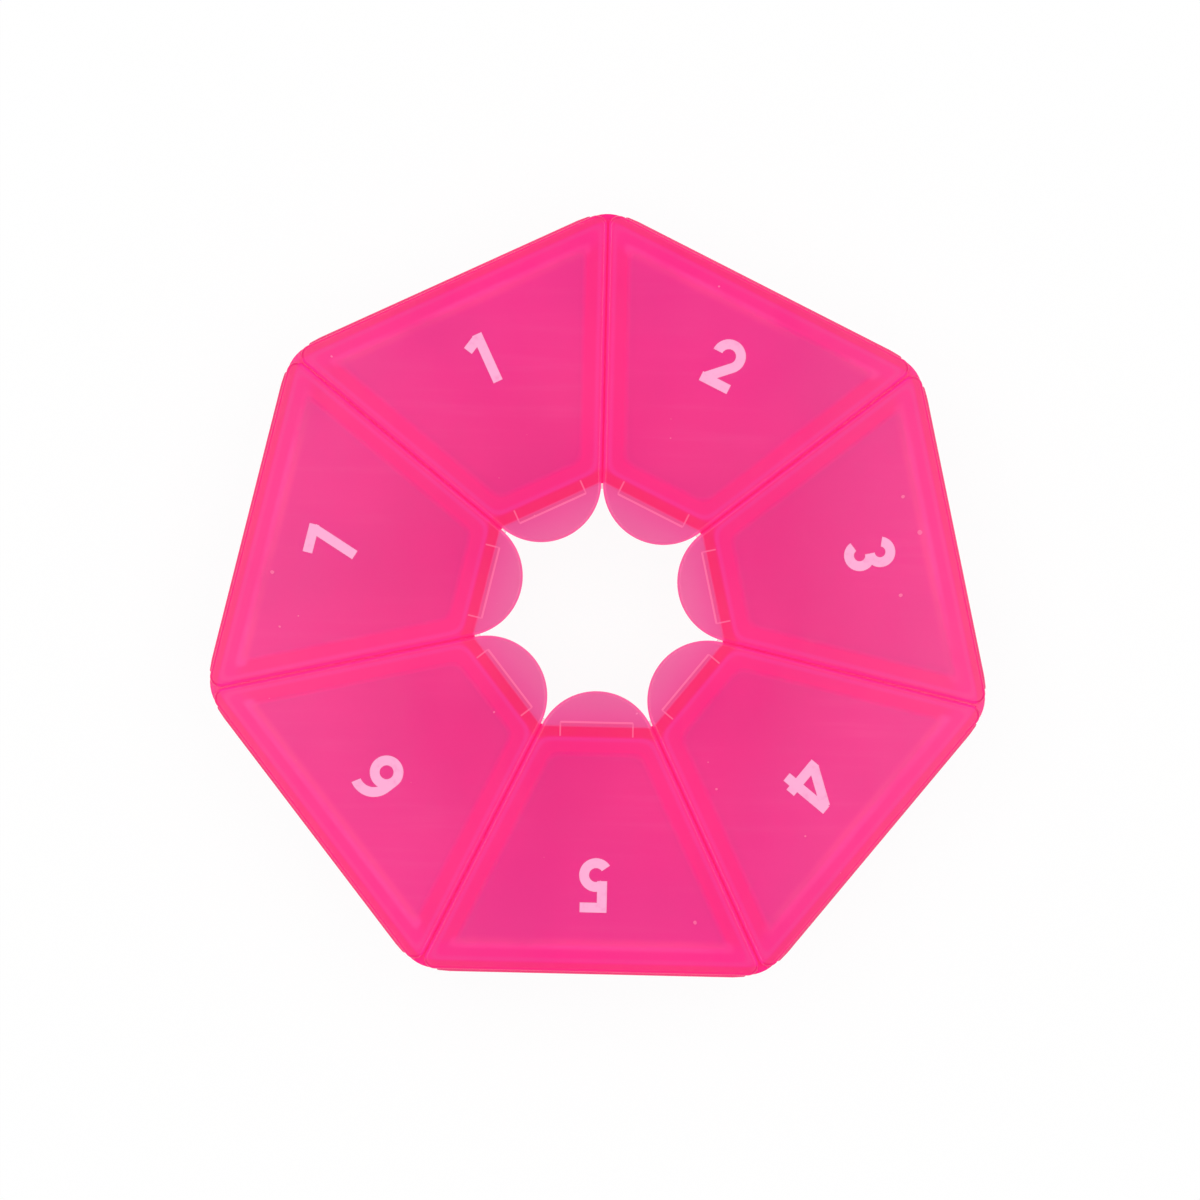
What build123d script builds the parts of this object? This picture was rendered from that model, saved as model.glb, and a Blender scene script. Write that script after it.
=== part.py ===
from build123d import *
import os
from math import cos, pi, sin, tan

# Weekly pill box: a seven-sided ring of wedge-shaped compartments round an open centre hole.
# One polypropylene moulding: the tray, one flip lid for each compartment, and a living hinge
# along each outer edge. Millimetres and degrees. The origin is on the centre axis, on the plane
# that the tray stands on. +Z is up, and one corner of the tray points along +Y.

# Plan of the tray
COMPARTMENTS = 7
RIM_APOTHEM = 44.8        # centre axis to the flat of an outer wall, at the rim
HOLE_APOTHEM = 14.3       # centre axis to the flat of the centre hole, at the rim
CORNER_R = 5.0            # rounding of the tray's outer corners
HOLE_CORNER_R = 1.0       # rounding of the centre hole's corners

# Walls of the tray
RIM_H = 19.5              # height of the rim above the table
FLOOR_T = 1.3
OUTER_WALL_T = 1.2
PARTITION_T = 1.4
INNER_WALL_T = 1.5
WALL_DRAFT = 1.0          # lean of the walls, as moulded
RIM_LAND_H = 1.6          # upright band under the rim, which the hinges grow from
FOOT_R = 1.2              # rounding of the outer edge that meets the table
CELL_CORNER_R = 2.4       # upright corners of a compartment
CELL_FLOOR_BEVEL = 1.0    # where a compartment's floor meets its walls

# Lids
LID_T = 1.5
LID_GAP = 0.3             # slit between two neighbouring lids
LID_CORNER_R = 1.3        # outer corners of a lid, in plan
LID_EDGE_BEVEL = 0.45     # round a lid's upper edge
SEAT_GAP = 0.05           # lid above the rim when shut
TAB_REACH = 4.3           # how far a finger tab stands out over the centre hole

# Plug skirt under each lid
SKIRT_H = 2.5
SKIRT_T = 1.1
SKIRT_GAP = 0.35          # skirt to compartment wall
SKIRT_DRAFT = 2.0
SKIRT_ROOT_BEVEL = 0.6    # where the skirt's inside meets the panel

# Snap latch in the middle of each inner wall
LATCH_W = 9.0             # width of the pad that backs the detent pocket
LATCH_PAD_T = 0.5         # how far the pad stands out into the centre hole
LATCH_RELIEF = 0.3        # rim lowered over the latch
DETENT_W = 4.8            # pocket in the compartment side of the wall
DETENT_DEPTH = 0.7
DETENT_H = 1.4
DETENT_DROP = 0.8         # top of the pocket below the rim
BEAD_R = 0.55             # snap bead on the lid's skirt
BEAD_PLAY = 0.2           # bead to each end of the pocket
SNAP_BITE = 0.15          # how far the bead reaches past the wall's face

# Living hinge, folded in a half round while the lid is shut
WEB_T = 0.25
WEB_FOLD_R = 0.3          # fold radius at the middle of the web's thickness
WEB_MARGIN = 0.2          # web's end to the nearest corner rounding

HALF_ANGLE = pi / COMPARTMENTS
SECTOR = 360 / COMPARTMENTS
FIRST_LID_ANGLE = 90 + SECTOR / 2
CELL_IN = HOLE_APOTHEM + INNER_WALL_T
CELL_OUT = RIM_APOTHEM - OUTER_WALL_T
SEAT_Z = RIM_H + SEAT_GAP


def half_width(apothem, inset):
    """Half the width of a wedge at a distance from the axis, its sides set in from the true wedge."""
    return apothem * tan(HALF_ANGLE) - inset / cos(HALF_ANGLE)


def heptagon(apothem, corner_r):
    """Plan of the ring's outline, with a flat side facing +X."""
    outline = RegularPolygon(apothem, COMPARTMENTS, major_radius=False, rotation=SECTOR / 2)
    return fillet(outline.vertices(), corner_r)


def wedge(inner, outer, inset):
    """Four-sided plan of a compartment that faces +X."""
    inner_half = half_width(inner, inset)
    outer_half = half_width(outer, inset)
    corners = [(inner, -inner_half), (outer, -outer_half), (outer, outer_half), (inner, inner_half)]
    return make_face(Polyline(*corners, close=True))


def drafted_down(plan, top, depth, draft):
    """Solid that goes down from a plan at height top and narrows on the way."""
    return Pos(0, 0, top) * Rot(180, 0, 0) * extrude(plan, amount=depth, taper=draft)


def block(x_range, width, z_range):
    """Box across the X axis, given by its limits in X, its width in Y and its limits in Z."""
    size_x = x_range[1] - x_range[0]
    size_z = z_range[1] - z_range[0]
    low = Align.MIN
    return Pos(x_range[0], 0, z_range[0]) * Box(size_x, width, size_z, align=(low, Align.CENTER, low))


def round_upright_edges(solid, radius):
    """Round the corners between a solid's walls."""
    corners = solid.edges().filter_by(lambda edge: abs(edge.tangent_at(0.5).Z) > 0.5)
    return fillet(corners, radius)


def lowest_edges(solid):
    """Edges of a solid's flat underside."""
    return solid.edges().group_by(Axis.Z)[0]


def highest_edges(solid):
    """Edges of a solid's flat top."""
    return solid.edges().group_by(Axis.Z)[-1]


def ring_of(solid):
    """Copies of a solid that faces +X, one for each compartment."""
    return [Rot(0, 0, SECTOR * place) * solid for place in range(COMPARTMENTS)]


def make_compartment():
    """Space inside one compartment, open at the rim."""
    plan = wedge(CELL_IN, CELL_OUT, PARTITION_T / 2)
    space = drafted_down(plan, RIM_H, RIM_H - FLOOR_T, WALL_DRAFT)
    space = round_upright_edges(space, CELL_CORNER_R)
    return chamfer(lowest_edges(space), CELL_FLOOR_BEVEL)


def make_tray():
    """Tray with its compartments, centre hole and latches."""
    land = Pos(0, 0, RIM_H - RIM_LAND_H) * extrude(heptagon(RIM_APOTHEM, CORNER_R), amount=RIM_LAND_H)
    lower_h = RIM_H - RIM_LAND_H
    tray = land + drafted_down(heptagon(RIM_APOTHEM, CORNER_R), lower_h, lower_h, WALL_DRAFT)
    tray = fillet(lowest_edges(tray), FOOT_R)
    tray -= drafted_down(heptagon(HOLE_APOTHEM, HOLE_CORNER_R), RIM_H, RIM_H, WALL_DRAFT)

    pad_top = RIM_H - LATCH_RELIEF
    pad = block((HOLE_APOTHEM - LATCH_PAD_T, HOLE_APOTHEM + INNER_WALL_T / 2), LATCH_W, (0, pad_top))
    tray += ring_of(pad)
    tray -= ring_of(make_compartment())

    relief = block((HOLE_APOTHEM - LATCH_PAD_T, CELL_IN), LATCH_W, (pad_top, RIM_H))
    pocket_top = RIM_H - DETENT_DROP
    pocket = block((CELL_IN - DETENT_DEPTH, CELL_IN + SKIRT_GAP), DETENT_W,
                   (pocket_top - DETENT_H, pocket_top))
    return tray - ring_of(relief) - ring_of(pocket)


def lid_plan():
    """Plan of a lid that faces +X: a wedge whose inner end is one arc tangent to both sides."""
    inset = LID_GAP / 2
    tip = HOLE_APOTHEM - TAB_REACH
    arc_centre = (tip - inset) / (1 - sin(HALF_ANGLE))
    arc_r = arc_centre - tip
    tangent_x = arc_centre - arc_r * sin(HALF_ANGLE)
    tangent_half = arc_r * cos(HALF_ANGLE)
    outer_half = half_width(RIM_APOTHEM, inset)
    sides = Polyline((tangent_x, -tangent_half), (RIM_APOTHEM, -outer_half),
                     (RIM_APOTHEM, outer_half), (tangent_x, tangent_half))
    tab_end = ThreePointArc((tangent_x, tangent_half), (tip, 0), (tangent_x, -tangent_half))
    plan = make_face([sides, tab_end])
    return fillet(plan.vertices().group_by(Axis.X)[-1], LID_CORNER_R)


def make_skirt():
    """Plug skirt that faces +X: an open frame under the lid, which goes into the compartment."""
    inset = PARTITION_T / 2 + SKIRT_GAP
    plan = wedge(CELL_IN + SKIRT_GAP, CELL_OUT - SKIRT_GAP, inset)
    skirt = drafted_down(plan, SEAT_Z, SKIRT_H, SKIRT_DRAFT)
    skirt = round_upright_edges(skirt, CELL_CORNER_R - SKIRT_GAP)

    hollow_gap = SKIRT_GAP + SKIRT_T
    hollow_plan = wedge(CELL_IN + hollow_gap, CELL_OUT - hollow_gap, inset + SKIRT_T)
    hollow = Pos(0, 0, SEAT_Z - SKIRT_H) * extrude(hollow_plan, amount=SKIRT_H)
    hollow = round_upright_edges(hollow, CELL_CORNER_R - hollow_gap)
    return skirt - chamfer(highest_edges(hollow), SKIRT_ROOT_BEVEL)


def make_lid():
    """Shut lid that faces +X: panel with finger tab, plug skirt and snap bead."""
    panel = Pos(0, 0, SEAT_Z) * extrude(lid_plan(), amount=LID_T)
    panel = chamfer(highest_edges(panel), LID_EDGE_BEVEL)

    bead_x = CELL_IN - SNAP_BITE + BEAD_R
    bead_z = RIM_H - DETENT_DROP - DETENT_H / 2
    bead = Pos(bead_x, 0, bead_z) * Rot(90, 0, 0) * Cylinder(BEAD_R, DETENT_W - 2 * BEAD_PLAY)
    return panel + make_skirt() + bead


def make_hinge_web():
    """Living hinge that faces +X: a half tube from the rim's edge up to the lid's edge."""
    tray_half = half_width(RIM_APOTHEM, 0) - CORNER_R * tan(HALF_ANGLE)
    lid_corner = LID_CORNER_R / tan((pi / 2 - HALF_ANGLE) / 2)
    lid_half = half_width(RIM_APOTHEM, LID_GAP / 2) - lid_corner
    length = 2 * (min(tray_half, lid_half) - WEB_MARGIN)
    tube = Cylinder(WEB_FOLD_R + WEB_T / 2, length) - Cylinder(WEB_FOLD_R - WEB_T / 2, length)
    outer_half = split(tube, bisect_by=Plane.YZ, keep=Keep.TOP)
    return Pos(RIM_APOTHEM, 0, RIM_H + SEAT_GAP / 2) * Rot(90, 0, 0) * outer_half


def write(solid, name):
    """Save one piece under its name."""
    solid.label = name
    export_step(solid, os.path.join("parts", name + ".step"))


os.makedirs("parts", exist_ok=True)
write(Rot(0, 0, FIRST_LID_ANGLE) * make_tray(), "base_tray")
lid = make_lid()
hinge_web = make_hinge_web()
for number in range(1, COMPARTMENTS + 1):
    turn = Rot(0, 0, FIRST_LID_ANGLE - SECTOR * (number - 1))
    write(turn * lid, f"lid_{number}")
    write(turn * hinge_web, f"hinge_web_{number}")
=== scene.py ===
"""Looks of a seven-compartment weekly pill box in clear pink plastic, around its CAD frame."""
import logging
from dataclasses import dataclass
from enum import Enum
from math import cos, pi, radians, sin, tan
from typing import Any

import bmesh
import bpy
from mathutils import Matrix, Vector


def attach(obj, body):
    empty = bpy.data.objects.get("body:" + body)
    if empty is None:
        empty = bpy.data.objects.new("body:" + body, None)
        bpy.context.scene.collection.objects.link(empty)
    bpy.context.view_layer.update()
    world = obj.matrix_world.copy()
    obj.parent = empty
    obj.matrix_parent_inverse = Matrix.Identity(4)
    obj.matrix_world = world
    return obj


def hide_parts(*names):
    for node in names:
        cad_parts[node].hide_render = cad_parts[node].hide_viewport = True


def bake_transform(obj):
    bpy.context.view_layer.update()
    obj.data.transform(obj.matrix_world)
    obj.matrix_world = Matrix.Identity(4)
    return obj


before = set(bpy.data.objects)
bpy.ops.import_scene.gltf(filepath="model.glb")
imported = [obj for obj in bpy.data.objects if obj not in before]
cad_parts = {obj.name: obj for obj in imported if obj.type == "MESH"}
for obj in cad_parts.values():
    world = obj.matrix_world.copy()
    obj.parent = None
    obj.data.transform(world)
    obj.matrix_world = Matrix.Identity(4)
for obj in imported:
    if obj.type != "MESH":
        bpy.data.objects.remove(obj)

Colour = tuple[float, float, float]

LOG = logging.getLogger("pill_box")
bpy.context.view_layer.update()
MM = 0.001
MERGE_DISTANCE = 1e-4
NOISE_MEAN = 0.5
PHOTO_PIXELS = 1200
WHITE: Colour = (1.0, 1.0, 1.0)


class Slot(Enum):
    """Material slots of the record."""

    TRAY = "tray_plastic"
    LID = "lid_plastic"
    WEB = "web_plastic"
    INK = "print_ink"


class Value:
    """Number on a node's output, which Python's operators work on."""

    def __init__(self, graph: "Graph", socket: bpy.types.NodeSocket) -> None:
        """Keep the socket that carries the number and the graph that it belongs to."""
        self.graph = graph
        self.socket = socket

    def __add__(self, other: "Value | float") -> "Value":
        """Sum of two numbers."""
        return self.graph.math("ADD", self, other)

    def __radd__(self, other: float) -> "Value":
        """Sum of a plain number and this one."""
        return self.graph.math("ADD", other, self)

    def __sub__(self, other: "Value | float") -> "Value":
        """Difference of two numbers."""
        return self.graph.math("SUBTRACT", self, other)

    def __rsub__(self, other: float) -> "Value":
        """Difference of a plain number and this one."""
        return self.graph.math("SUBTRACT", other, self)

    def __mul__(self, other: "Value | float") -> "Value":
        """Product of two numbers."""
        return self.graph.math("MULTIPLY", self, other)

    def __rmul__(self, other: float) -> "Value":
        """Product of a plain number and this one."""
        return self.graph.math("MULTIPLY", other, self)

    def __abs__(self) -> "Value":
        """Size of the number."""
        return self.graph.math("ABSOLUTE", self)


@dataclass(frozen=True)
class Fade:
    """Smooth step from 0 at low to 1 at high, which may be below low."""

    low: float
    high: float

    def moved(self, by: float) -> "Fade":
        """The same step at another place."""
        return Fade(self.low + by, self.high + by)


@dataclass(frozen=True)
class Mottle:
    """Noise: its waves for each metre, the number of its finer layers, and their weight."""

    scale: float
    detail: float = 2.0
    roughness: float = 0.5


class Graph:
    """Node tree of one material or of the world."""

    def __init__(self, tree: bpy.types.NodeTree) -> None:
        """Take over a node tree and clear it."""
        self.tree = tree
        tree.nodes.clear()

    def node(self, kind: str, settings: dict[str, Any] | None = None,
             inputs: dict[str | int, Any] | None = None) -> bpy.types.Node:
        """Add a node.

        Args:
            kind: Blender's name of the node type.
            settings: Properties, set before the sockets.
            inputs: Values, Value objects or output sockets, by the input's name or number.

        Returns:
            The new node.
        """
        made = self.tree.nodes.new(kind)
        for name, setting in (settings or {}).items():
            setattr(made, name, setting)
        for key, source in (inputs or {}).items():
            self._feed(made.inputs[key], source)
        return made

    def value(self, kind: str, settings: dict[str, Any] | None, inputs: dict[str | int, Any]) -> Value:
        """Add a node, as node() does, and take its first output as a number."""
        return Value(self, self.node(kind, settings, inputs).outputs[0])

    def math(self, operation: str, *terms: Value | float) -> Value:
        """Add a Math node, whose inputs are the terms in order."""
        return self.value("ShaderNodeMath", {"operation": operation}, dict(enumerate(terms)))

    def ramp(self, source: Value, fade: Fade) -> Value:
        """Look a number up on a smooth step.

        Args:
            source: Number to look up.
            fade: Where the step starts and ends.

        Returns:
            A number between 0 and 1.
        """
        low, high = sorted((fade.low, fade.high))
        first, last = (0.0, 1.0) if fade.low <= fade.high else (1.0, 0.0)
        return self.value("ShaderNodeMapRange", {"interpolation_type": "SMOOTHSTEP"},
                          {0: source, 1: low, 2: high, 3: first, 4: last})

    def mix(self, share: Value, first: Colour | bpy.types.NodeSocket,
            second: Colour | bpy.types.NodeSocket) -> bpy.types.NodeSocket:
        """Mix two colours or sockets; share says how much of the second one shows."""
        mixer = self.node("ShaderNodeMix", {"data_type": "RGBA"}, {0: share, 6: first, 7: second})
        return mixer.outputs[2]

    def noise(self, place: bpy.types.NodeSocket, mottle: Mottle) -> Value:
        """Even noise around NOISE_MEAN, mostly between 0.2 and 0.8."""
        return self.value("ShaderNodeTexNoise", None, {
            "Vector": place, "Scale": mottle.scale, "Detail": mottle.detail, "Roughness": mottle.roughness})

    def _feed(self, socket: bpy.types.NodeSocket, source: Any) -> None:
        """Link or set one input.

        Args:
            socket: Input socket.
            source: Value object, output socket, colour or number.
        """
        if isinstance(source, Value):
            self.tree.links.new(source.socket, socket)
        elif isinstance(source, bpy.types.NodeSocket):
            self.tree.links.new(source, socket)
        elif isinstance(source, tuple) and socket.type == "RGBA":
            socket.default_value = (*source, 1.0)
        else:
            socket.default_value = source


def new_material(name: str) -> tuple[bpy.types.Material, Graph]:
    """Make a material without nodes.

    Args:
        name: Name of the material.

    Returns:
        The material and its empty graph.
    """
    made = bpy.data.materials.new(name)
    made.use_nodes = True
    return made, Graph(made.node_tree)


@dataclass(frozen=True)
class RingPlan:
    """Plan of the ring that the pieces share, in millimetres and degrees."""

    compartments: int = 7
    rim_apothem: float = 44.8
    hole_apothem: float = 14.3
    inner_wall: float = 1.5
    outer_wall: float = 1.2
    partition: float = 1.4
    lid_gap: float = 0.22
    rim_height: float = 19.5
    seat_gap: float = 0.05
    lid_thickness: float = 1.5
    tab_reach: float = 4.3

    @property
    def sector(self) -> float:
        """Angle of one compartment, in degrees."""
        return 360.0 / self.compartments

    @property
    def half(self) -> float:
        """Half of a compartment's angle, in radians."""
        return radians(self.sector / 2)

    @property
    def lid_seat(self) -> float:
        """Height of a shut lid's underside."""
        return self.rim_height + self.seat_gap

    @property
    def lid_top(self) -> float:
        """Height of a shut lid's upper face."""
        return self.rim_height + self.seat_gap + self.lid_thickness

    @property
    def hinge_height(self) -> float:
        """Height of the middle of a folded hinge."""
        return self.rim_height + self.seat_gap / 2

    @property
    def tab_tip(self) -> float:
        """Distance of a tab's tip from the centre axis."""
        return self.hole_apothem - self.tab_reach

    @property
    def tab_centre(self) -> float:
        """Distance of the middle of a tab's arc from the centre axis."""
        return (self.tab_tip - self.lid_gap / 2) / (1.0 - sin(self.half))

    def angle(self, number: int) -> float:
        """Direction that a compartment faces, in radians from +X; the numbers run clockwise from 1."""
        return radians(90.0 + self.sector / 2 - self.sector * (number - 1))

    def turn(self, number: int) -> Matrix:
        """Rotation about the centre axis that takes a piece made facing +X to its compartment."""
        return Matrix.Rotation(self.angle(number), 4, "Z")


class RingZones:
    """Where a point lies on the ring, as shader numbers in millimetres."""

    CORNER_BLEND = 1.6

    def __init__(self, graph: Graph, plan: RingPlan) -> None:
        """Fold all the compartments onto the one that faces +X and measure there.

        Args:
            graph: Graph that the numbers are added to.
            plan: Plan of the ring.
        """
        self.plan = plan
        self.place = graph.node("ShaderNodeTexCoord").outputs["Object"]
        parts = graph.node("ShaderNodeSeparateXYZ", None, {0: self.place})
        east, north, self.height = (Value(graph, socket) * (1.0 / MM) for socket in parts.outputs)
        radius = graph.math("SQRT", east * east + north * north)
        turned = graph.math("ARCTAN2", north, east) - plan.angle(1)
        folded = graph.math("WRAP", turned, plan.half, -plan.half)
        self.along = radius * graph.math("COSINE", folded)
        self.across = abs(radius * graph.math("SINE", folded))
        self.from_side = self.along * sin(plan.half) - self.across * cos(plan.half) - plan.lid_gap / 2
        self.from_rim = plan.rim_apothem - self.along
        self.from_hole = self.along - plan.hole_apothem
        beside = self.from_side - (plan.partition - plan.lid_gap) / 2
        ends = graph.math("MINIMUM", self.from_rim - plan.outer_wall, self.from_hole - plan.inner_wall)
        self.inside = graph.math("SMOOTH_MIN", beside, ends, self.CORNER_BLEND)
        ahead = graph.math("MINIMUM", self.along - plan.tab_centre, 0.0)
        reach = graph.math("SQRT", ahead * ahead + self.across * self.across)
        self.from_tip = plan.tab_centre - plan.tab_tip - reach


@dataclass(frozen=True)
class TintedPlastic:
    """Clear polypropylene with a bright pink dye, which scatters more light where it is thick; a painted
    glow lightens its shade.
    """

    name: str
    thin: Colour
    thick: Colour
    clearness: float
    thick_clearness: float = 0.12
    # glow is a painted glow: emission that lightens the plastic's shade, stronger in patches.
    glow: Colour = (0.2, 0.0, 0.04)
    weak_glow: float = 0.8
    roughness: float = 0.2
    index: float = 1.49
    specular: float = 0.4
    smudges: Mottle = Mottle(60.0, 3.0)
    smudge_spread: float = 0.16
    grain: Mottle = Mottle(2400.0)
    grain_spread: float = 0.06
    grain_height: float = 0.12
    ripples: Mottle = Mottle(220.0)
    bump_strength: float = 0.25
    bump_depth: float = 0.0001
    tint_clouds: Mottle = Mottle(70.0, 3.0)
    tint_middle: float = 0.5
    tint_spread: float = 0.5
    thick_clouds: Mottle = Mottle(40.0, 3.0)
    thick_middle: float = 0.2
    thick_spread: float = 0.4
    glow_clouds: Mottle = Mottle(50.0)
    glow_patches: Fade = Fade(0.3, 0.7)

    def material(self, plan: RingPlan) -> bpy.types.Material:
        """Make the material.

        Args:
            plan: Plan of the ring, for where the plastic is thick.

        Returns:
            A new material.
        """
        made, graph = new_material(self.name)
        zones = RingZones(graph, plan)
        smudge = graph.noise(zones.place, self.smudges) - NOISE_MEAN
        grain = graph.noise(zones.place, self.grain)
        ripple = graph.noise(zones.place, self.ripples)
        bump = graph.node("ShaderNodeBump", None, {
            "Strength": self.bump_strength,
            "Distance": self.bump_depth,
            "Height": ripple + grain * self.grain_height,
        })
        uneven = smudge * self.smudge_spread + (grain - NOISE_MEAN) * self.grain_spread
        finish = {
            "Base Color": self.tint(graph, zones),
            "Roughness": self.roughness + uneven,
            "IOR": self.index,
            "Specular IOR Level": self.specular,
            # The emission is the painted glow.
            "Emission Color": self.painted_glow(graph, zones),
            "Emission Strength": 1.0,
            "Normal": bump.outputs[0],
        }
        clear, dense = (
            graph.node("ShaderNodeBsdfPrincipled", None, {**finish, "Transmission Weight": weight})
            for weight in (self.clearness, self.thick_clearness))
        surface = graph.node("ShaderNodeMixShader", None, {
            0: self.density(graph, zones), 1: clear.outputs[0], 2: dense.outputs[0]})
        graph.node("ShaderNodeOutputMaterial", None, {"Surface": surface.outputs[0]})
        return made

    def tint(self, graph: Graph, zones: RingZones) -> bpy.types.NodeSocket:
        """Work out the colour of the plastic, between thin and thick."""
        cloud = graph.noise(zones.place, self.tint_clouds) - NOISE_MEAN
        return graph.mix(self.tint_middle + cloud * self.tint_spread, self.thin, self.thick)

    def density(self, graph: Graph, zones: RingZones) -> Value:
        """Work out how much of the plastic is thick, from 0 where it is clear to 1."""
        cloud = graph.noise(zones.place, self.thick_clouds) - NOISE_MEAN
        return self.thick_middle + cloud * self.thick_spread

    def painted_glow(self, graph: Graph, zones: RingZones) -> bpy.types.NodeSocket:
        """Work out the painted glow, which stands in for light scattered inside the plastic.

        Args:
            graph: Graph of the material.
            zones: Where the point lies.

        Returns:
            Socket with the colour.
        """
        patches = graph.ramp(graph.noise(zones.place, self.glow_clouds), self.glow_patches)
        weak = tuple(part * self.weak_glow for part in self.glow)
        return graph.mix(patches, weak, self.glow)


@dataclass(frozen=True)
class TrayPlastic(TintedPlastic):
    """Plastic of the tray, whose upper edges are deeper in tint and carry a stronger painted glow."""

    edge: Colour = (0.8, 0.0, 0.2)
    # Painted glow along the upper edges.
    painted_edge_glow: Colour = (0.3, 0.0, 0.06)
    edge_fade: Fade = Fade(-1.2, -0.2)

    def tint(self, graph: Graph, zones: RingZones) -> bpy.types.NodeSocket:
        """Work out the colour of the tray, with that of its upper edges."""
        return graph.mix(self._upper(graph, zones), super().tint(graph, zones), self.edge)

    def density(self, graph: Graph, zones: RingZones) -> Value:
        """Work out how much of the plastic is thick, which is 1 along the upper edges."""
        return graph.math("MAXIMUM", super().density(graph, zones), self._upper(graph, zones))

    def painted_glow(self, graph: Graph, zones: RingZones) -> bpy.types.NodeSocket:
        """Work out the painted glow, which is stronger along the upper edges."""
        return graph.mix(self._upper(graph, zones), super().painted_glow(graph, zones), self.painted_edge_glow)

    def _upper(self, graph: Graph, zones: RingZones) -> Value:
        """Find the upper edges, as 1 at the rim and 0 below it."""
        return graph.ramp(zones.height, self.edge_fade.moved(zones.plan.rim_height))


@dataclass(frozen=True)
class LidPlastic(TintedPlastic):
    """Plastic of the lids, through which the walls and the skirt below show as bands, with a painted
    highlight, painted glints and a painted glow.
    """

    outer: Colour = (0.71, 0.01, 0.3)
    panel_fade: Fade = Fade(20.0, 40.0)
    clouds: Mottle = Mottle(55.0, 3.0)
    streak: Colour = (0.76, 0.04, 0.34)
    streak_flow: tuple[float, float, float] = (0.06, 1.0, 1.0)
    streak_lines: Mottle = Mottle(620.0, 3.0, 0.6)
    streak_fade: Fade = Fade(0.45, 0.75)
    streak_patches: Fade = Fade(0.4, 0.7)
    streak_share: float = 0.35
    thick_outer: Colour = (0.82, 0.0, 0.222)
    thick_outer_fade: Fade = Fade(4.5, 2.6)
    skirt_fade: Fade = Fade(2.5, 1.6)
    skirt_end: Fade = Fade(-0.1, 0.1)
    # Painted highlight: a pale line that stands for a reflection inside the rim.
    painted_highlight: Colour = (0.9, 0.045, 0.33)
    highlight_place: float = 3.35
    highlight_fade: Fade = Fade(1.15, 0.2)
    highlight_ends: Fade = Fade(1.1, 1.7)
    highlight_patches: Fade = Fade(0.3, 0.6)
    highlight_share: float = 0.65
    slit: Colour = (0.8, 0.012, 0.24)
    slit_outside: Fade = Fade(-0.2, 0.15)
    slit_inside: Fade = Fade(0.67, 0.22)
    inner_wall: Colour = (0.79, 0.0, 0.105)
    inner_wall_end: Fade = Fade(2.0, 1.2)
    outer_wall: Colour = (0.79, 0.006, 0.15)
    outer_wall_end: Fade = Fade(1.4, 1.0)
    wall_fade: Fade = Fade(0.1, -0.35)
    wall_clouds: Mottle = Mottle(240.0)
    wall_least: float = 0.6
    wall_spread: float = 0.6
    tab_root: Colour = (0.68, 0.09, 0.335)
    tab_tip: Colour = (0.66, 0.142, 0.36)
    tab_start: Fade = Fade(0.3, -0.15)
    # Painted glint along the latch's edge, with a tick at each end.
    painted_latch_glint: Colour = (1.0, 0.3, 0.55)
    latch_half: float = 4.5
    latch_out: float = 0.42
    latch_fade: Fade = Fade(0.16, 0.06)
    latch_ends: Fade = Fade(0.1, -0.1)
    latch_glint_share: float = 0.7
    tick_middle: float = 0.45
    tick_fade: Fade = Fade(0.13, 0.05)
    tick_ends: Fade = Fade(0.95, 0.8)
    tick_share: float = 0.4
    speck: Colour = (1.0, 0.4, 0.62)
    specks: Mottle = Mottle(900.0, 0.0)
    speck_fade: Fade = Fade(0.87, 0.89)
    speck_share: float = 0.5
    # Painted glow at the lid's edges and the tab's tip, which lightens the shade of the gaps.
    painted_edge_glow: Colour = (0.4, 0.022, 0.12)
    side_fade: Fade = Fade(0.45, 0.1)
    rim_fade: Fade = Fade(0.5, 0.15)
    rim_share: float = 0.5
    painted_tip_glow: Colour = (0.4, 0.06, 0.16)
    tip_fade: Fade = Fade(0.4, 0.05)
    tip_start: Fade = Fade(0.1, -0.2)

    def tint(self, graph: Graph, zones: RingZones) -> bpy.types.NodeSocket:
        """Work out the colour of the lid, layer over layer.

        Args:
            graph: Graph of the material.
            zones: Where the point lies.

        Returns:
            Socket with the colour.
        """
        cloud = graph.noise(zones.place, self.clouds)
        band = graph.mix(graph.ramp(zones.from_rim, self.thick_outer_fade), self.thick, self.thick_outer)
        wall_cloud = self.wall_least + graph.noise(zones.place, self.wall_clouds) * self.wall_spread
        wall = graph.ramp(zones.inside, self.wall_fade) * wall_cloud
        reach = Fade(0.0, -zones.plan.tab_reach)
        tab = graph.mix(graph.ramp(zones.from_hole, reach), self.tab_root, self.tab_tip)
        specks = graph.ramp(graph.noise(zones.place, self.specks), self.speck_fade)
        layers = (
            (self.density(graph, zones), band),
            # painted highlight along the rim
            (self._painted_highlight(graph, zones, cloud), self.painted_highlight),
            (self._slit(graph, zones), self.slit),
            (wall * graph.ramp(zones.from_hole, self.inner_wall_end), self.inner_wall),
            (wall * graph.ramp(zones.from_rim, self.outer_wall_end), self.outer_wall),
            (graph.ramp(zones.from_hole, self.tab_start), tab),
            # painted glint along the latch's edge
            (self._painted_latch_glint(graph, zones), self.painted_latch_glint),
            (specks * self.speck_share, self.speck),
        )
        body = self._panel(graph, zones, cloud)
        for share, colour in layers:
            body = graph.mix(share, body, colour)
        return body

    def density(self, graph: Graph, zones: RingZones) -> Value:
        """Find where the skirt or a wall is under the lid, as 1 there and 0 in the panel and the tab."""
        band = graph.ramp(zones.inside, self.skirt_fade)
        return band * graph.ramp(zones.from_hole, self.skirt_end)

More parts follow.
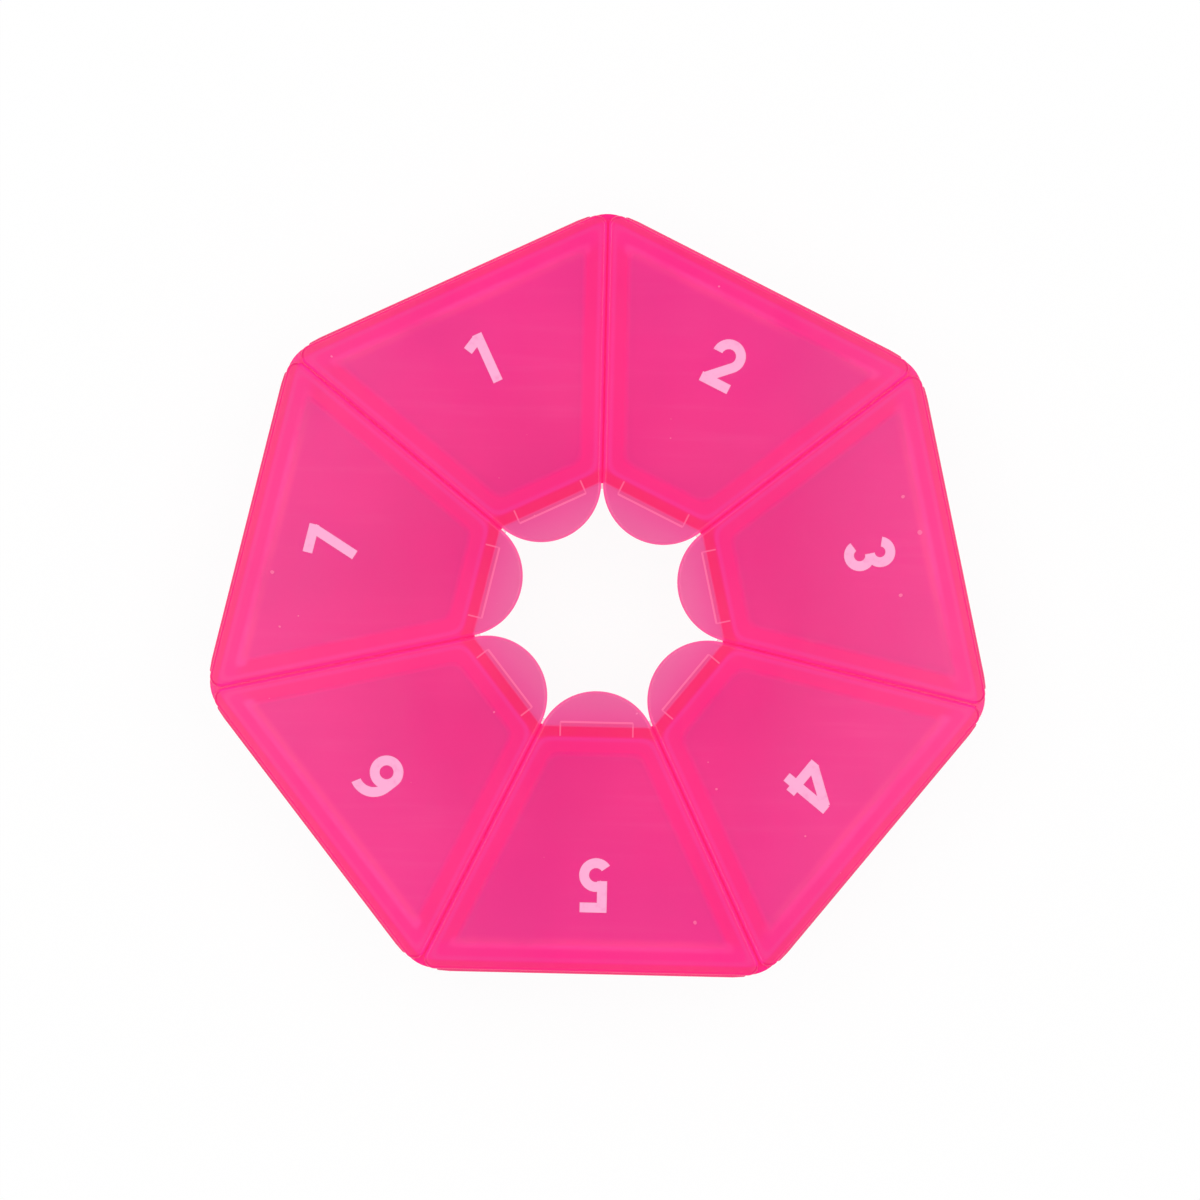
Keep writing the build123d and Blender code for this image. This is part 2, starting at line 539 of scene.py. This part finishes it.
    def painted_glow(self, graph: Graph, zones: RingZones) -> bpy.types.NodeSocket:
        """Work out the painted glow, which is stronger at the lid's edges and at the tab's tip.

        Args:
            graph: Graph of the material.
            zones: Where the point lies.

        Returns:
            Socket with the colour.
        """
        side = graph.ramp(zones.from_side, self.side_fade)
        rim = graph.ramp(zones.from_rim, self.rim_fade) * self.rim_share
        tip = graph.ramp(zones.from_tip, self.tip_fade) * graph.ramp(zones.from_hole, self.tip_start)
        painted_glow = graph.mix(graph.math("MAXIMUM", side, rim), super().painted_glow(graph, zones), self.painted_edge_glow)
        return graph.mix(tip, painted_glow, self.painted_tip_glow)

    def _panel(self, graph: Graph, zones: RingZones, cloud: Value) -> bpy.types.NodeSocket:
        """Work out the colour of the panel, with the faint streaks that the plastic's flow left.

        Args:
            graph: Graph of the material.
            zones: Where the point lies.
            cloud: Noise that breaks the streaks up.

        Returns:
            Socket with the colour.
        """
        flow = graph.node("ShaderNodeMapping", None, {"Vector": zones.place, "Scale": self.streak_flow})
        lines = graph.ramp(graph.noise(flow.outputs[0], self.streak_lines), self.streak_fade)
        streaks = lines * graph.ramp(cloud, self.streak_patches) * self.streak_share
        panel = graph.mix(graph.ramp(zones.along, self.panel_fade), self.thin, self.outer)
        return graph.mix(streaks, panel, self.streak)

    def _painted_highlight(self, graph: Graph, zones: RingZones, cloud: Value) -> Value:
        """Find the painted highlight, a pale line inside the skirt along the rim.

        Args:
            graph: Graph of the material.
            zones: Where the point lies.
            cloud: Noise that breaks the line up.

        Returns:
            How much of the line shows.
        """
        line = graph.ramp(abs(zones.from_rim - self.highlight_place), self.highlight_fade)
        line = line * graph.ramp(zones.inside, self.highlight_ends)
        return line * graph.ramp(cloud, self.highlight_patches) * self.highlight_share

    def _slit(self, graph: Graph, zones: RingZones) -> Value:
        """Find the slit between the walls and the skirt, as 1 in it and 0 beside it."""
        outside = graph.ramp(zones.inside, self.slit_outside)
        return outside * graph.ramp(zones.inside, self.slit_inside)

    def _painted_latch_glint(self, graph: Graph, zones: RingZones) -> Value:
        """Find the painted glint along the latch's edge, a thin line across the root of the tab with a tick
        at each end.

        Args:
            graph: Graph of the material.
            zones: Where the point lies.

        Returns:
            How much of the line shows.
        """
        line = graph.ramp(abs(zones.from_hole + self.latch_out), self.latch_fade)
        line = line * graph.ramp(zones.across, self.latch_ends.moved(self.latch_half))
        tick = graph.ramp(abs(zones.across - self.latch_half), self.tick_fade)
        tick = tick * graph.ramp(abs(zones.from_hole - self.tick_middle), self.tick_ends)
        return graph.math("MAXIMUM", line * self.latch_glint_share, tick * self.tick_share)


@dataclass(frozen=True)
class PrintInk:
    """Pale pink printing ink on the lids."""

    name: str
    colour: Colour = (1.0, 0.40, 0.66)
    worn: Colour = (0.95, 0.30, 0.57)
    patches: Mottle = Mottle(1400.0, 3.0)
    worn_fade: Fade = Fade(0.5, 0.85)
    roughness: float = 0.45
    roughness_spread: float = 0.2
    index: float = 1.45

    def material(self) -> bpy.types.Material:
        """Make the material.

        Returns:
            A new material.
        """
        made, graph = new_material(self.name)
        place = graph.node("ShaderNodeTexCoord").outputs["Object"]
        patch = graph.noise(place, self.patches)
        shader = graph.node("ShaderNodeBsdfPrincipled", None, {
            "Base Color": graph.mix(graph.ramp(patch, self.worn_fade), self.colour, self.worn),
            "Roughness": self.roughness + (patch - NOISE_MEAN) * self.roughness_spread,
            "IOR": self.index,
        })
        graph.node("ShaderNodeOutputMaterial", None, {"Surface": shader.outputs[0]})
        return made


def to_compartment(shape: bmesh.types.BMesh, plan: RingPlan, number: int) -> None:
    """Turn a shape's faces outwards and take it to its compartment.

    Args:
        shape: Closed shape in millimetres, facing +X, which is then in metres.
        plan: Plan of the ring.
        number: Number of the compartment.
    """
    bmesh.ops.recalc_face_normals(shape, faces=shape.faces)
    bmesh.ops.scale(shape, verts=shape.verts, vec=(MM, MM, MM))
    bmesh.ops.transform(shape, matrix=plan.turn(number), verts=shape.verts)


def new_piece(name: str, shape: bmesh.types.BMesh, material: bpy.types.Material,
              smooth_below: float = 30.0) -> bpy.types.Object:
    """Make a piece from a finished shape.

    Args:
        name: Name of the piece.
        shape: Shape in metres, which is freed.
        material: What the piece is made of.
        smooth_below: Edges flatter than this angle in degrees are shaded smooth.

    Returns:
        The new object, at the origin.
    """
    mesh = bpy.data.meshes.new(name)
    for face in shape.faces:
        face.smooth = True
    for edge in shape.edges:
        edge.smooth = edge.calc_face_angle(pi) < radians(smooth_below)
    shape.to_mesh(mesh)
    shape.free()
    mesh.materials.append(material)
    made = bpy.data.objects.new(name, mesh)
    bpy.context.scene.collection.objects.link(made)
    return made


@dataclass
class Tray:
    """Tray of seven compartments."""

    material: bpy.types.Material
    node: str = "base_tray"

    def dress(self) -> None:
        """Give the tray's solid its plastic."""
        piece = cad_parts[self.node]
        piece.data.materials.clear()
        piece.data.materials.append(self.material)
        LOG.info("dressed %s", self.node)


@dataclass(frozen=True)
class Corner:
    """Rounded corner of a plan, in millimetres and radians."""

    x: float
    y: float
    radius: float
    start: float
    end: float
    steps: int


@dataclass(frozen=True)
class RoundedPlan:
    """Closed outline of straight sides joined by rounded corners, in counter-clockwise order."""

    corners: tuple[Corner, ...]

    def loop(self, shape: bmesh.types.BMesh, height: float,
             inset: float = 0.0) -> list[bmesh.types.BMEdge]:
        """Draw the outline as a loop of edges.

        Args:
            shape: Shape that the loop is added to.
            height: Height of the loop.
            inset: How far the loop lies inside the outline.

        Returns:
            The edges of the loop.
        """
        before = set(shape.edges)
        ends = []
        for corner in self.corners:
            reach = corner.radius - inset
            x = corner.x + reach * cos(corner.start)
            y = corner.y + reach * sin(corner.start)
            first = shape.verts.new((x, y, height))
            spun = bmesh.ops.spin(shape, geom=[first], cent=(corner.x, corner.y, height),
                                  axis=(0.0, 0.0, 1.0), angle=corner.end - corner.start, steps=corner.steps)
            last = next(item for item in spun["geom_last"] if isinstance(item, bmesh.types.BMVert))
            ends.append((first, last))
        for place, (_, last) in enumerate(ends):
            shape.edges.new((last, ends[(place + 1) % len(ends)][0]))
        return [edge for edge in shape.edges if edge not in before]


@dataclass
class Lid:
    """Flip lid of one compartment: panel with a finger tab, and the plug skirt under it."""

    number: int
    plan: RingPlan
    material: bpy.types.Material
    corner_radius: float = 1.3
    edge_radius: float = 0.4
    under_radius: float = 0.15
    cell_corner: float = 2.4
    skirt_gap: float = 0.35
    skirt_wall: float = 1.1
    skirt_depth: float = 2.5
    skirt_draft: float = 2.0
    skirt_lip: float = 0.25
    lip_turn: float = 0.3
    root_radius: float = 0.6
    tab_steps: int = 43
    corner_steps: int = 9
    near_steps: int = 21
    round_steps: int = 4
    step_down: float = 0.01
    normal_weight: int = 80

    @property
    def body(self) -> str:
        """Name of the body that moves, which is also the CAD node's."""
        return f"lid_{self.number}"

    def build(self) -> bpy.types.Object:
        """Bridge a stack of outlines, from the middle of the upper face to the middle of the underside.

        Returns:
            The lid, standing for its CAD node.
        """
        shape = bmesh.new()
        stack = self._panel_loops(shape) + self._skirt_loops(shape)
        for upper, lower in zip(stack, stack[1:]):
            bmesh.ops.bridge_loops(shape, edges=upper + lower)
        for cap in (stack[0], stack[-1]):
            bmesh.ops.contextual_create(shape, geom=cap)
        to_compartment(shape, self.plan, self.number)
        piece = new_piece(f"flip_lid_{self.number}", shape, self.material)
        self._even_shading(piece)
        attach(piece, self.body)
        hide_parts(self.body)
        LOG.info("built %s", piece.name)
        return piece

    def _even_shading(self, piece: bpy.types.Object) -> None:
        """Keep flat faces flat where they meet a rounding.

        Args:
            piece: Piece with smooth faces.
        """
        finish = piece.modifiers.new("even_shading", "WEIGHTED_NORMAL")
        finish.mode = "FACE_AREA"
        finish.weight = self.normal_weight
        finish.keep_sharp = True

    def _panel_loops(self, shape: bmesh.types.BMesh) -> list[list[bmesh.types.BMEdge]]:
        """Draw the loops of the panel, whose upper edge is rounded.

        Args:
            shape: Shape that the loops are added to.

        Returns:
            The loops from the upper face down to the underside.
        """
        outline = self._panel_outline()
        loops = []
        for step in range(self.round_steps + 1):
            turn = pi / 2 * step / self.round_steps
            drop = self.edge_radius * (1.0 - cos(turn))
            inset = self.edge_radius * (1.0 - sin(turn))
            loops.append(outline.loop(shape, self.plan.lid_top - drop, inset))
        loops.append(outline.loop(shape, self.plan.lid_seat + self.under_radius))
        loops.append(outline.loop(shape, self.plan.lid_seat, self.under_radius))
        return loops

    def _skirt_loops(self, shape: bmesh.types.BMesh) -> list[list[bmesh.types.BMEdge]]:
        """Draw the loops of the plug skirt.

        Args:
            shape: Shape that the loops are added to.

        Returns:
            The loops down the skirt's outside, round its lip and up its inside to the panel.
        """
        seat = self.plan.lid_seat
        foot = seat - self.skirt_depth
        lip = self.skirt_lip
        turned = lip * self.lip_turn
        lean = self.skirt_depth * tan(radians(self.skirt_draft))
        outside = self._skirt_outline(self.skirt_gap)
        inside = self._skirt_outline(self.skirt_gap + self.skirt_wall)
        loops = [
            outside.loop(shape, seat - self.step_down),
            outside.loop(shape, foot + lip, lean),
            outside.loop(shape, foot + turned, lean + turned),
            outside.loop(shape, foot, lean + lip),
            inside.loop(shape, foot + self.step_down, -lip),
            inside.loop(shape, foot + turned, -turned),
            inside.loop(shape, foot + lip),
        ]
        for step in range(self.round_steps + 1):
            turn = pi / 2 * step / self.round_steps
            rise = self.root_radius * (1.0 - sin(turn))
            inset = self.root_radius * (1.0 - cos(turn))
            loops.append(inside.loop(shape, seat - rise, inset))
        return loops

    def _panel_outline(self) -> RoundedPlan:
        """Work out the panel's plan, a wedge that ends in one arc at the finger tab.

        Returns:
            Plan of the panel, facing +X.
        """
        half = self.plan.half
        side = pi / 2 + half
        inset = self.plan.lid_gap / 2
        tip = self.plan.tab_tip
        tab_x = self.plan.tab_centre
        radius = self.corner_radius
        x = self.plan.rim_apothem - radius
        y = (x * sin(half) - inset - radius) / cos(half)
        return RoundedPlan((
            Corner(x, -y, radius, -side, 0.0, self.corner_steps),
            Corner(x, y, radius, 0.0, side, self.corner_steps),
            Corner(tab_x, 0.0, tab_x - tip, side, 2 * pi - side, self.tab_steps),
        ))

    def _skirt_outline(self, gap: float) -> RoundedPlan:
        """Work out the plan of one face of the skirt.

        Args:
            gap: Distance from the compartment's wall.

        Returns:
            Plan of the face, facing +X.
        """
        half = self.plan.half
        side = pi / 2 + half
        radius = self.cell_corner - gap
        inset = self.plan.partition / 2 + gap + radius
        far = self.plan.rim_apothem - self.plan.outer_wall - gap - radius
        near = self.plan.hole_apothem + self.plan.inner_wall + gap + radius
        far_y = (far * sin(half) - inset) / cos(half)
        near_y = (near * sin(half) - inset) / cos(half)
        return RoundedPlan((
            Corner(far, -far_y, radius, -side, 0.0, self.corner_steps),
            Corner(far, far_y, radius, 0.0, side, self.corner_steps),
            Corner(near, near_y, radius, side, pi, self.near_steps),
            Corner(near, -near_y, radius, pi, 2 * pi - side, self.near_steps),
        ))


@dataclass
class SnapBead:
    """Rounded bar on a lid's skirt that clicks into the pocket of the inner wall.

    end_round gives points of its rounded end: the distance from the end and the share of the radius.
    """

    number: int
    plan: RingPlan
    material: bpy.types.Material
    radius: float = 0.55
    length: float = 4.4
    end_round: tuple[tuple[float, float], ...] = ((0.0, 0.0), (0.0, 0.5), (0.06, 0.8), (0.2, 1.0))
    bite: float = 0.15
    drop: float = 1.5
    steps: int = 24
    smooth_below: float = 40.0

    def build(self) -> bpy.types.Object:
        """Turn a rounded profile about the bar's own axis.

        Returns:
            The bead, riding on its lid.
        """
        shape = bmesh.new()
        axis_x = self.plan.hole_apothem + self.plan.inner_wall - self.bite + self.radius
        axis_z = self.plan.rim_height - self.drop
        profile = [(self.length / 2 - back, share) for back, share in self.end_round]
        profile += [(-along, share) for along, share in reversed(profile)]
        places = [(axis_x + self.radius * share, along, axis_z) for along, share in profile]
        points = [shape.verts.new(place) for place in places]
        edges = [shape.edges.new(pair) for pair in zip(points, points[1:])]
        bmesh.ops.spin(shape, geom=points + edges, cent=(axis_x, 0.0, axis_z), axis=(0.0, 1.0, 0.0),
                       angle=2 * pi, steps=self.steps, use_merge=True)
        bmesh.ops.remove_doubles(shape, verts=shape.verts, dist=MERGE_DISTANCE)
        to_compartment(shape, self.plan, self.number)
        piece = new_piece(f"snap_bead_{self.number}", shape, self.material, self.smooth_below)
        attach(piece, f"lid_{self.number}")
        LOG.info("built %s", piece.name)
        return piece


@dataclass
class HingeWeb:
    """Living hinge between the tray's rim and one lid, folded in a half round."""

    number: int
    plan: RingPlan
    material: bpy.types.Material
    thickness: float = 0.2
    fold_radius: float = 0.24
    length: float = 38.3
    taper: float = 1.6
    middle_taper: float = 0.24
    steps: int = 7
    changeover: float = 0.025
    smooth_below: float = 40.0

    @property
    def node(self) -> str:
        """Name of the CAD node that the web stands for."""
        return f"hinge_web_{self.number}"

    def build(self) -> bpy.types.Object:
        """Fold a thin strip into a half tube.

        The number of steps is odd.

        Returns:
            The web, between the tray and its lid.
        """
        shape = bmesh.new()
        inner = self.fold_radius - self.thickness / 2
        outer = self.fold_radius + self.thickness / 2
        axis_x = self.plan.rim_apothem
        axis_z = self.plan.hinge_height
        half = self.length / 2
        end = [(inner, half), (self.fold_radius, half - self.middle_taper), (outer, half - self.taper)]
        corners = [(drop, -reach) for drop, reach in end] + end[::-1]
        points = [shape.verts.new((axis_x, reach, axis_z - drop)) for drop, reach in corners]
        strip = shape.faces.new(points)
        bmesh.ops.spin(shape, geom=[strip, *strip.edges, *strip.verts], cent=(axis_x, 0.0, axis_z),
                       axis=(0.0, -1.0, 0.0), angle=pi, steps=self.steps)
        bmesh.ops.remove_doubles(shape, verts=shape.verts, dist=MERGE_DISTANCE)
        to_compartment(shape, self.plan, self.number)
        piece = new_piece(f"web_strip_{self.number}", shape, self.material, self.smooth_below)
        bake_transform(piece)
        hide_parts(self.node)
        LOG.info("built %s", piece.name)
        return piece


class Nib:
    """Broad pen that lays flat strokes of one width."""

    FULL_TURN = 360.0
    ARC_STEP = 7.0
    LEAST_STEPS = 3

    def __init__(self, shape: bmesh.types.BMesh, width: float, lift: float) -> None:
        """Take up the pen.

        Args:
            shape: Shape that the strokes are added to.
            width: Width of a stroke.
            lift: How much higher each stroke lies than the one before.
        """
        self.shape = shape
        self.width = width
        self.lift = lift
        self.at = Vector((0.0, 0.0, 0.0))
        self.heading = 0.0
        self.edge: bmesh.types.BMEdge | None = None

    def put(self, x: float, y: float, heading: float) -> "Nib":
        """Put the pen down where a stroke starts.

        Args:
            x: Place to the right.
            y: Place upwards.
            heading: Direction of the stroke, in degrees from the right.

        Returns:
            The pen.
        """
        self.at = Vector((x, y, self.at.z + self.lift))
        self.heading = radians(heading)
        half = self._left() * (self.width / 2)
        left = self.shape.verts.new(self.at + half)
        right = self.shape.verts.new(self.at - half)
        self.edge = self.shape.edges.new((left, right))
        return self

    def line(self, length: float) -> "Nib":
        """Draw straight on.

        Args:
            length: Length of the line.

        Returns:
            The pen.
        """
        ahead = Vector((cos(self.heading), sin(self.heading), 0.0)) * length
        drawn = bmesh.ops.extrude_edge_only(self.shape, edges=[self.edge])["geom"]
        moved = [item for item in drawn if isinstance(item, bmesh.types.BMVert)]
        bmesh.ops.translate(self.shape, verts=moved, vec=ahead)
        self.edge = next(edge for edge in moved[0].link_edges if edge.other_vert(moved[0]) in moved)
        self.at += ahead
        return self

    def arc(self, radius: float, turn: float) -> "Nib":
        """Draw an arc.

        Args:
            radius: Radius in the middle of the stroke.
            turn: How far the stroke turns to the left, in degrees; below 0 it turns to the right.

        Returns:
            The pen.
        """
        side = 1.0 if turn > 0.0 else -1.0
        centre = self.at + self._left() * (radius * side)
        steps = max(self.LEAST_STEPS, round(abs(turn) / self.ARC_STEP))
        spun = bmesh.ops.spin(self.shape, geom=[self.edge, *self.edge.verts], cent=centre,
                              axis=(0.0, 0.0, 1.0), angle=radians(turn), steps=steps,
                              use_merge=abs(turn) == self.FULL_TURN)
        self.edge = next(item for item in spun["geom_last"] if isinstance(item, bmesh.types.BMEdge))
        self.at = centre + Matrix.Rotation(radians(turn), 3, "Z") @ (self.at - centre)
        self.heading += radians(turn)
        return self

    def _left(self) -> Vector:
        """Direction to the left of the stroke."""
        return Vector((-sin(self.heading), cos(self.heading), 0.0))


@dataclass
class PrintedNumeral:
    """Numeral printed on one lid, drawn 1 high and then sized."""

    number: int
    plan: RingPlan
    material: bpy.types.Material
    distance: float = 34.2
    height: float = 6.4
    stroke: float = 0.19
    film: float = 0.012
    overlap: float = 0.004

    def build(self) -> bpy.types.Object:
        """Print the numeral, its top towards the rim.

        Returns:
            The numeral, riding on its lid.
        """
        shape = bmesh.new()
        draw = getattr(self, f"_draw_{self.number}")
        draw(Nib(shape, self.stroke, self.overlap / self.height))
        raised = bmesh.ops.extrude_face_region(shape, geom=shape.faces)["geom"]
        upper = [item for item in raised if isinstance(item, bmesh.types.BMVert)]
        bmesh.ops.translate(shape, verts=upper, vec=(0.0, 0.0, self.film / self.height))
        bmesh.ops.recalc_face_normals(shape, faces=shape.faces)
        bmesh.ops.transform(shape, matrix=self._placing(), verts=shape.verts)
        piece = new_piece(f"numeral_{self.number}", shape, self.material)
        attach(piece, f"lid_{self.number}")
        LOG.info("printed %s", piece.name)
        return piece

    def _placing(self) -> Matrix:
        """Work out the numeral's size and place.

        Returns:
            Matrix from the drawing to the lid, in metres.
        """
        middle = Matrix.Translation((0.0, -0.5, 0.0))
        upright = Matrix.Rotation(-pi / 2, 4, "Z")
        shift = Matrix.Translation((self.distance, 0.0, self.plan.lid_top))
        sized = Matrix.Scale(self.height, 4) @ upright @ middle
        return Matrix.Scale(MM, 4) @ self.plan.turn(self.number) @ shift @ sized

    @staticmethod
    def _draw_1(nib: Nib) -> None:
        """Draw a stem with a flag."""
        nib.put(0.05, 0.0, 90.0).line(1.0)
        nib.put(-0.24, 0.775, 28.0).line(0.29)

    @staticmethod
    def _draw_2(nib: Nib) -> None:
        """Draw a hook and its foot."""
        nib.put(-0.235, 0.67, 90.0).arc(0.235, -225.0).line(0.55)
        nib.put(-0.31, 0.095, 0.0).line(0.6)

    @staticmethod
    def _draw_3(nib: Nib) -> None:
        """Draw two bowls."""
        nib.put(-0.21, 0.77, 70.0).arc(0.2, -250.0)
        nib.put(-0.03, 0.505, 0.0).arc(0.205, -245.0)

    @staticmethod
    def _draw_4(nib: Nib) -> None:
        """Draw a stem, a slope and a bar.

        Args:
            nib: Pen to draw with.
        """
        nib.put(0.15, 0.0, 90.0).line(1.0)
        nib.put(0.105, 0.935, 236.0).line(0.8)
        nib.put(-0.42, 0.25, 0.0).line(0.76)

    @staticmethod
    def _draw_5(nib: Nib) -> None:
        """Draw a top bar, a short stem and a bowl.

        Args:
            nib: Pen to draw with.
        """
        nib.put(-0.27, 0.905, 0.0).line(0.52)
        nib.put(-0.175, 1.0, 270.0).line(0.61)
        nib.put(-0.2, 0.45, 40.0).arc(0.23, -275.0)

    @staticmethod
    def _draw_6(nib: Nib) -> None:
        """Draw a ring and the arc above it."""
        nib.put(0.23, 0.325, 90.0).arc(0.23, Nib.FULL_TURN)
        nib.put(-0.23, 0.33, 90.0).line(0.2).arc(0.37, -105.0)

    @staticmethod
    def _draw_7(nib: Nib) -> None:
        """Draw a top bar and a slope."""
        nib.put(-0.29, 0.905, 0.0).line(0.56)
        nib.put(0.19, 0.9, 251.0).line(0.95)


@dataclass
class Studio:
    """Floor and lamps, in metres, and the camera, in millimetres and the photograph's pixels."""

    plan: RingPlan
    pixels_per_mm: float = 8.08
    photo_centre: tuple[float, float] = (599.3, 610.4)
    roll: float = 1.3
    camera_distance: float = 800.0
    sensor: float = 36.0
    floor_size: float = 3.0
    floor_drop: float = 0.0001
    floor_grey: float = 0.8
    floor_white: float = 0.94
    world_strength: float = 0.45
    softbox_size: tuple[float, float] = (0.5, 0.9)
    softbox_out: float = 0.32
    softbox_back: float = 0.08
    softbox_up: float = 0.9
    softbox_glow: float = 2.2

    def build(self) -> None:
        """Set up everything around the object."""
        self._lay_floor()
        self._light_world()
        for name, side in (("softbox_left", -1.0), ("softbox_right", 1.0)):
            self._hang_softbox(name, (side * self.softbox_out, self.softbox_back, self.softbox_up))
        self._place_camera()
        bpy.context.scene.view_settings.view_transform = "Standard"

    @staticmethod
    def _rays(graph: Graph, *kinds: str) -> Value:
        """Tell rays of some kinds from the others.

        Args:
            graph: Graph of the material or of the world.
            kinds: Blender's names of the kinds.

        Returns:
            1 on rays of these kinds and 0 on the others.
        """
        path = graph.node("ShaderNodeLightPath")
        share = Value(graph, path.outputs[kinds[0]])
        for kind in kinds[1:]:
            share = graph.math("MAXIMUM", share, Value(graph, path.outputs[kind]))
        return share

    def _lay_floor(self) -> None:
        """Lay a pale floor that keeps the object's shadow and doesn't hide the underside from below."""
        shape = bmesh.new()
        bmesh.ops.create_grid(shape, x_segments=1, y_segments=1, size=self.floor_size / 2)
        bmesh.ops.translate(shape, verts=shape.verts, vec=(0.0, 0.0, -self.floor_drop))
        made, graph = new_material("pale_floor")
        lit, seen_lit = (
            graph.node("ShaderNodeBsdfDiffuse", None, {"Color": (grey, grey, grey)})
            for grey in (self.floor_grey, 1.0 - self.floor_white))
        glow = graph.node("ShaderNodeEmission", None, {"Strength": self.floor_white})
        seen = graph.node("ShaderNodeAddShader", None, {0: seen_lit.outputs[0], 1: glow.outputs[0]})
        share = self._rays(graph, "Is Camera Ray", "Is Glossy Ray", "Is Transmission Ray")
        upper = graph.node("ShaderNodeMixShader", None, {0: share, 1: lit.outputs[0], 2: seen.outputs[0]})
        below = graph.node("ShaderNodeNewGeometry").outputs["Backfacing"]
        nothing = graph.node("ShaderNodeBsdfTransparent")
        surface = graph.node("ShaderNodeMixShader", None, {
            0: below, 1: upper.outputs[0], 2: nothing.outputs[0]})
        graph.node("ShaderNodeOutputMaterial", None, {"Surface": surface.outputs[0]})
        floor = new_piece("floor", shape, made)

    def _light_world(self) -> None:
        """Light the object evenly from all round, before a white backdrop."""
        world = bpy.data.worlds.new("studio")
        world.use_nodes = True
        graph = Graph(world.node_tree)
        seen = self._rays(graph, "Is Camera Ray", "Is Transmission Ray")
        strength = self.world_strength + seen * (1.0 - self.world_strength)
        light = graph.node("ShaderNodeBackground", None, {"Color": WHITE, "Strength": strength})
        graph.node("ShaderNodeOutputWorld", None, {"Surface": light.outputs[0]})
        bpy.context.scene.world = world

    def _hang_softbox(self, name: str, place: tuple[float, float, float]) -> None:
        """Hang a soft lamp that faces down.

        Args:
            name: Name of the lamp.
            place: Where its middle hangs, in metres.
        """
        lamp = bpy.data.lights.new(name, "AREA")
        lamp.shape = "RECTANGLE"
        lamp.size, lamp.size_y = self.softbox_size
        lamp.energy = self.softbox_glow * pi * lamp.size * lamp.size_y
        hung = bpy.data.objects.new(name, lamp)
        hung.location = place
        bpy.context.scene.collection.objects.link(hung)

    def _place_camera(self) -> None:
        """Look straight down, framed and turned as in the photograph."""
        lens = bpy.data.cameras.new("camera")
        seen_mm = PHOTO_PIXELS / self.pixels_per_mm
        lens.sensor_width = self.sensor
        lens.lens = self.sensor * self.camera_distance / seen_mm
        camera = bpy.data.objects.new("camera", lens)
        turn = Matrix.Rotation(radians(self.roll), 4, "Z")
        middle = PHOTO_PIXELS / 2
        right = (middle - self.photo_centre[0]) / self.pixels_per_mm
        up = (self.photo_centre[1] - middle) / self.pixels_per_mm
        camera.location = turn @ Vector((right, up, self.plan.lid_top + self.camera_distance)) * MM
        camera.rotation_euler = (0.0, 0.0, radians(self.roll))
        bpy.context.scene.collection.objects.link(camera)
        bpy.context.scene.camera = camera


def main() -> None:
    """Build the dressed pill box and the studio around it."""
    logging.basicConfig(level=logging.INFO, format="%(name)s: %(message)s")
    plan = RingPlan()
    tray_plastic = TrayPlastic(
        Slot.TRAY.value, thin=(0.8, 0.03, 0.36), thick=(0.72, 0.015, 0.29), clearness=0.8,
        thick_clearness=0.25, glow=(0.12, 0.0, 0.03), roughness=0.13).material(plan)
    lid_plastic = LidPlastic(
        Slot.LID.value, thin=(0.71, 0.006, 0.268), thick=(0.82, 0.0, 0.188), clearness=0.45).material(plan)
    web_plastic = TintedPlastic(
        Slot.WEB.value, thin=(0.87, 0.09, 0.29), thick=(0.83, 0.07, 0.25), clearness=0.4).material(plan)
    ink = PrintInk(Slot.INK.value).material()
    Tray(tray_plastic).dress()
    for number in range(1, plan.compartments + 1):
        Lid(number, plan, lid_plastic).build()
        SnapBead(number, plan, lid_plastic).build()
        HingeWeb(number, plan, web_plastic).build()
        PrintedNumeral(number, plan, ink).build()
    Studio(plan).build()


if __name__ == "__main__":
    main()
